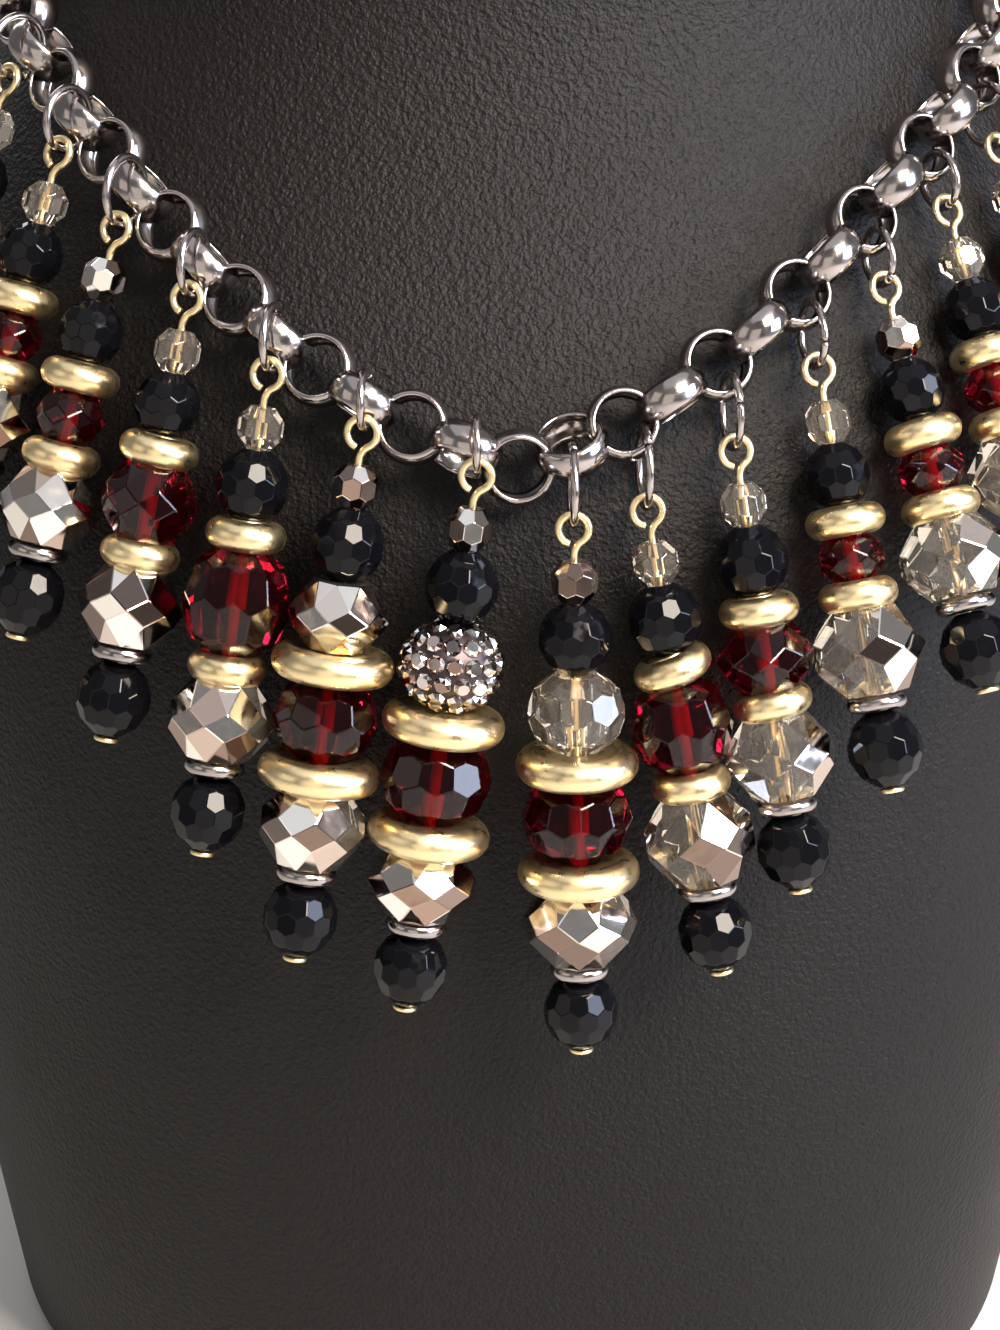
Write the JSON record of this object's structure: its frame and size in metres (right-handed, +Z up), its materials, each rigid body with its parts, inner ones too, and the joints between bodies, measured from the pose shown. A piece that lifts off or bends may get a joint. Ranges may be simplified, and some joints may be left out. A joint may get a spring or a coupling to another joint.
{
  "type": "bib necklace on neck bust",
  "caption": "Bib necklace of graduated faceted bead drops on a rolo chain, worn by a plain neck bust that stands on a flat base.",
  "frame": {"origin": "centre of the bust's flat base, where it stands", "axes": "+Z up, -Y towards the viewer in front of the chest, +X to the viewer's right"},
  "size_m": [0.164, 0.1489, 0.226],
  "materials": {
    "leatherette": "black fine-grained leatherette",
    "gunmetal": "polished dark gunmetal plate",
    "gold_plate": "polished pale gold-coloured plate",
    "jet": "opaque black faceted glass",
    "garnet": "deep red faceted glass",
    "crystal": "clear faceted glass, some half coated in a silvery mirror film",
    "pave": "close-set dark rhinestones"
  },
  "bodies": {
    "root": {"neck_bust": "leatherette", "chain": "gunmetal", "clasp": "gunmetal", "jump_ring_01": "gunmetal", "drop_01": "jet", "jump_ring_02": "gunmetal", "drop_02": "jet", "jump_ring_03": "gunmetal", "drop_03": "jet", "jump_ring_04": "gunmetal", "drop_04": "jet", "jump_ring_05": "gunmetal", "drop_05": "jet", "jump_ring_06": "gunmetal", "drop_06": "jet", "jump_ring_07": "gunmetal", "pin_07": "gold_plate", "small_bead_07_1": "crystal", "black_bead_07_2": "jet", "pave_ball_07_3": "pave", "gold_disc_07_4": "gold_plate", "red_bead_07_5": "garnet", "gold_disc_07_6": "gold_plate", "rondelle_07_7": "crystal", "spacer_07_8": "gunmetal", "black_bead_07_9": "jet", "jump_ring_08": "gunmetal", "pin_08": "gold_plate", "small_bead_08_1": "crystal", "black_bead_08_2": "jet", "rondelle_08_3": "crystal", "gold_disc_08_4": "gold_plate", "red_bead_08_5": "garnet", "gold_disc_08_6": "gold_plate", "rondelle_08_7": "crystal", "spacer_08_8": "gunmetal", "black_bead_08_9": "jet", "jump_ring_09": "gunmetal", "pin_09": "gold_plate", "small_bead_09_1": "crystal", "black_bead_09_2": "jet", "gold_disc_09_3": "gold_plate", "red_bead_09_4": "garnet", "gold_disc_09_5": "gold_plate", "rondelle_09_6": "crystal", "spacer_09_7": "gunmetal", "black_bead_09_8": "jet", "jump_ring_10": "gunmetal", "drop_10": "jet", "jump_ring_11": "gunmetal", "drop_11": "jet", "jump_ring_12": "gunmetal", "drop_12": "jet", "jump_ring_13": "gunmetal", "drop_13": "jet", "jump_ring_14": "gunmetal", "drop_14": "jet", "jump_ring_15": "gunmetal", "drop_15": "jet"}
  },
  "joints": []
}
